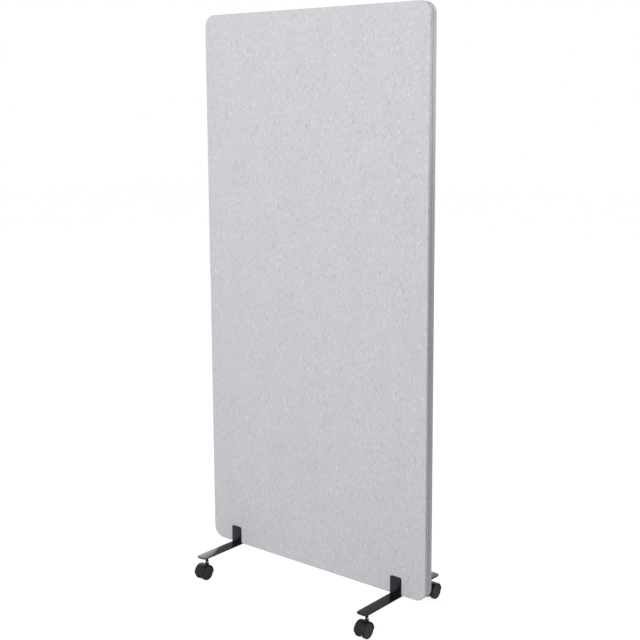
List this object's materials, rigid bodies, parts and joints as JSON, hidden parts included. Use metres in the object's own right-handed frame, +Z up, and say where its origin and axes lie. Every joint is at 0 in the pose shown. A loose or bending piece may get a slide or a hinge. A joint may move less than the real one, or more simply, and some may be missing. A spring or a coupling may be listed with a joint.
{
  "type": "rolling partition",
  "caption": "Freestanding fabric-covered pin-board partition on flat steel feet with hooded twin-wheel swivel casters.",
  "frame": {"origin": "on the floor, below the middle of the panel", "axes": "+X along the panel's width, to the right seen from the front; -Y towards the front; +Z up"},
  "size_m": [0.8, 0.372, 1.6708],
  "materials": {
    "fabric": "heathered light grey woven cloth",
    "board": "raw fibreboard",
    "dowel": "plain beech",
    "foot_steel": "satin black powder coat",
    "plated_steel": "bright zinc plate",
    "insert_brass": "turned",
    "hood_plastic": "moulded black nylon",
    "wheel_plastic": "moulded black nylon, slightly worn tread",
    "cap_plastic": "moulded black nylon"
  },
  "bodies": {
    "stand": {"front_board": "board", "rear_board": "board", "front_fabric": "fabric", "rear_fabric": "fabric", "joining_dowels": "dowel", "left_foot_bar": "foot_steel", "right_foot_bar": "foot_steel", "left_front_tab": "foot_steel", "left_rear_tab": "foot_steel", "right_front_tab": "foot_steel", "right_rear_tab": "foot_steel", "left_foot_screws": "plated_steel", "right_foot_screws": "plated_steel", "left_foot_inserts": "insert_brass", "right_foot_inserts": "insert_brass", "front_left_sleeve": "foot_steel", "front_left_stem": "plated_steel", "front_left_clip": "plated_steel", "front_right_sleeve": "foot_steel", "front_right_stem": "plated_steel", "front_right_clip": "plated_steel", "rear_left_sleeve": "foot_steel", "rear_left_stem": "plated_steel", "rear_left_clip": "plated_steel", "rear_right_sleeve": "foot_steel", "rear_right_stem": "plated_steel", "rear_right_clip": "plated_steel"},
    "front_left_caster": {"front_left_hood": "hood_plastic", "front_left_axle": "plated_steel"},
    "front_left_inner_wheel": {"front_left_inner_wheel": "wheel_plastic", "front_left_inner_cap": "cap_plastic"},
    "front_left_outer_wheel": {"front_left_outer_wheel": "wheel_plastic", "front_left_outer_cap": "cap_plastic"},
    "front_right_caster": {"front_right_hood": "hood_plastic", "front_right_axle": "plated_steel"},
    "front_right_inner_wheel": {"front_right_inner_wheel": "wheel_plastic", "front_right_inner_cap": "cap_plastic"},
    "front_right_outer_wheel": {"front_right_outer_wheel": "wheel_plastic", "front_right_outer_cap": "cap_plastic"},
    "rear_left_caster": {"rear_left_hood": "hood_plastic", "rear_left_axle": "plated_steel"},
    "rear_left_inner_wheel": {"rear_left_inner_wheel": "wheel_plastic", "rear_left_inner_cap": "cap_plastic"},
    "rear_left_outer_wheel": {"rear_left_outer_wheel": "wheel_plastic", "rear_left_outer_cap": "cap_plastic"},
    "rear_right_caster": {"rear_right_hood": "hood_plastic", "rear_right_axle": "plated_steel"},
    "rear_right_inner_wheel": {"rear_right_inner_wheel": "wheel_plastic", "rear_right_inner_cap": "cap_plastic"},
    "rear_right_outer_wheel": {"rear_right_outer_wheel": "wheel_plastic", "rear_right_outer_cap": "cap_plastic"}
  },
  "joints": [
    {"name": "front_left_swivel", "type": "hinge", "parent": "stand", "child": "front_left_caster", "pos_m": [-0.303, -0.148, 0.04], "axis": [0, 0, 1], "continuous": true},
    {"name": "front_left_inner_roll", "type": "hinge", "parent": "front_left_caster", "child": "front_left_inner_wheel", "pos_m": [-0.2915, -0.161, 0.022], "axis": [1, 0, 0], "continuous": true},
    {"name": "front_left_outer_roll", "type": "hinge", "parent": "front_left_caster", "child": "front_left_outer_wheel", "pos_m": [-0.3145, -0.161, 0.022], "axis": [1, 0, 0], "continuous": true},
    {"name": "front_right_swivel", "type": "hinge", "parent": "stand", "child": "front_right_caster", "pos_m": [0.303, -0.148, 0.04], "axis": [0, 0, 1], "continuous": true},
    {"name": "front_right_inner_roll", "type": "hinge", "parent": "front_right_caster", "child": "front_right_inner_wheel", "pos_m": [0.2915, -0.161, 0.022], "axis": [1, 0, 0], "continuous": true},
    {"name": "front_right_outer_roll", "type": "hinge", "parent": "front_right_caster", "child": "front_right_outer_wheel", "pos_m": [0.3145, -0.161, 0.022], "axis": [1, 0, 0], "continuous": true},
    {"name": "rear_left_swivel", "type": "hinge", "parent": "stand", "child": "rear_left_caster", "pos_m": [-0.303, 0.148, 0.04], "axis": [0, 0, 1], "continuous": true},
    {"name": "rear_left_inner_roll", "type": "hinge", "parent": "rear_left_caster", "child": "rear_left_inner_wheel", "pos_m": [-0.2915, 0.161, 0.022], "axis": [1, 0, 0], "continuous": true},
    {"name": "rear_left_outer_roll", "type": "hinge", "parent": "rear_left_caster", "child": "rear_left_outer_wheel", "pos_m": [-0.3145, 0.161, 0.022], "axis": [1, 0, 0], "continuous": true},
    {"name": "rear_right_swivel", "type": "hinge", "parent": "stand", "child": "rear_right_caster", "pos_m": [0.303, 0.148, 0.04], "axis": [0, 0, 1], "continuous": true},
    {"name": "rear_right_inner_roll", "type": "hinge", "parent": "rear_right_caster", "child": "rear_right_inner_wheel", "pos_m": [0.2915, 0.161, 0.022], "axis": [1, 0, 0], "continuous": true},
    {"name": "rear_right_outer_roll", "type": "hinge", "parent": "rear_right_caster", "child": "rear_right_outer_wheel", "pos_m": [0.3145, 0.161, 0.022], "axis": [1, 0, 0], "continuous": true}
  ]
}
